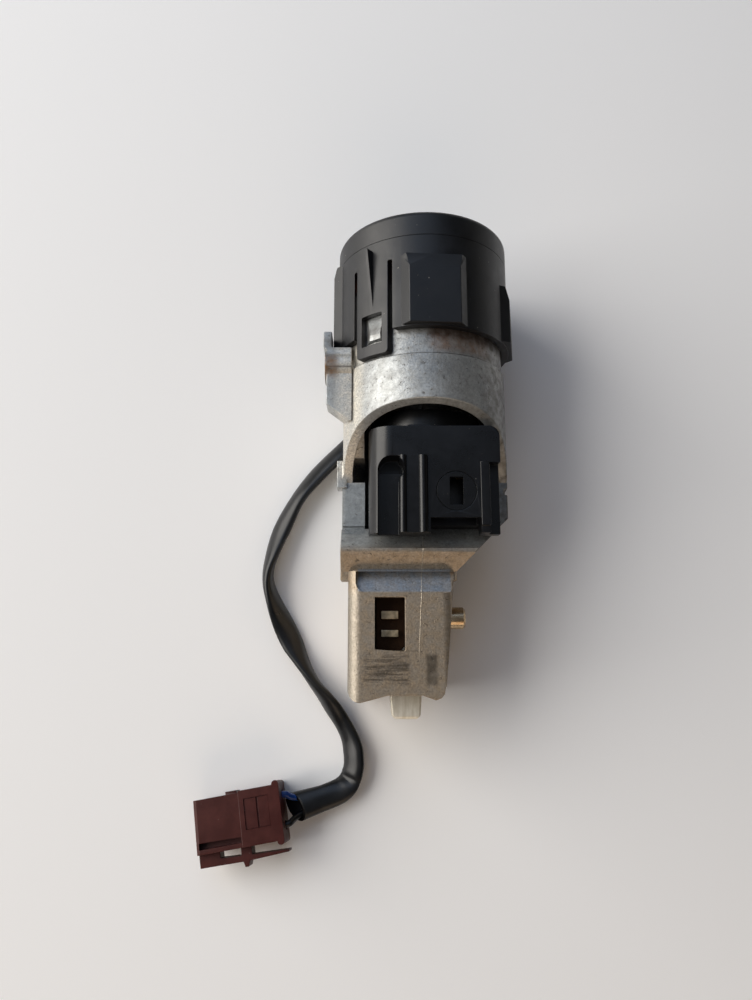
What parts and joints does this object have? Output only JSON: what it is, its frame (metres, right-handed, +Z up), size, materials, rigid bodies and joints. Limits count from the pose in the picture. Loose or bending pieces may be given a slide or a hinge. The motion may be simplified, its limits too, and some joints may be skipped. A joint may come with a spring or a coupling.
{
  "type": "ignition switch",
  "caption": "Automotive ignition lock with die-cast housing, black collar, key plug, locking bolt, electrical switch and a short coil lead ending in a connector",
  "frame": {"origin": "centre of the lock's box in plan, at the level of the table it lies on, measured without the lead", "axes": "+Y along the key axis toward the key, +X toward the retaining pin, +Z up, out of the arched front of the housing"},
  "size_m": [0.0796, 0.1527, 0.0448],
  "materials": {
    "zinc": "rough die casting with tarnish",
    "black_plastic": "fine grained black plastic",
    "switch_plastic": "satin black plastic",
    "brass": "machined",
    "steel": "plain steel",
    "copper": "enamelled copper",
    "white_plastic": "natural nylon",
    "brown_plastic": "satin red-brown plastic",
    "lead_sleeve": "dark grey flexible sleeve",
    "blue_wire": "blue insulation",
    "black_wire": "black insulation"
  },
  "bodies": {
    "body": {"lock_body": "zinc", "collar": "black_plastic", "cap": "black_plastic", "coil_bobbin": "black_plastic", "coil_winding": "copper", "coil_wires": "copper", "lead_clip": "black_plastic", "lock_sleeve": "brass", "sleeve_pin": "steel", "switch_housing": "switch_plastic", "switch_stud": "switch_plastic", "switch_terminals": "brass", "spring_plate": "steel", "bolt_guide": "steel", "pin_bush": "brass", "lead_sleeve": "lead_sleeve", "wire_blue": "blue_wire", "wire_black": "black_wire", "connector_housing": "brown_plastic", "connector_lock": "brown_plastic", "connector_terminals": "brass"},
    "rotor": {"plug": "brass", "plug_face": "steel", "wafers": "brass", "circlip": "steel", "driver": "zinc", "switch_rotor": "white_plastic", "contact_bridge": "copper"},
    "bolt": {"bolt": "steel", "bolt_carrier": "zinc", "carrier_pin": "steel", "bolt_spring": "steel"},
    "pin": {"retaining_pin": "steel", "pin_spring": "steel"}
  },
  "joints": [
    {"name": "key_turn", "type": "hinge", "parent": "body", "child": "rotor", "pos_m": [0.00078, 0.03635, 0.0222], "axis": [0, -1, 0], "range_deg": [0, 105]},
    {"name": "bolt_slide", "type": "slide", "parent": "body", "child": "bolt", "axis": [0, 1, 0], "range_m": [0, 0.005], "deforming": ["bolt_spring"]},
    {"name": "pin_slide", "type": "slide", "parent": "body", "child": "pin", "axis": [-1, 0, 0], "range_m": [0, 0.005], "stiffness_N_per_m": 400, "springref_m": -0.002, "deforming": ["pin_spring"]}
  ],
  "couplings": [
    {"joint": "bolt_slide", "follows": "key_turn", "m_per_rad": 0.002728}
  ]
}
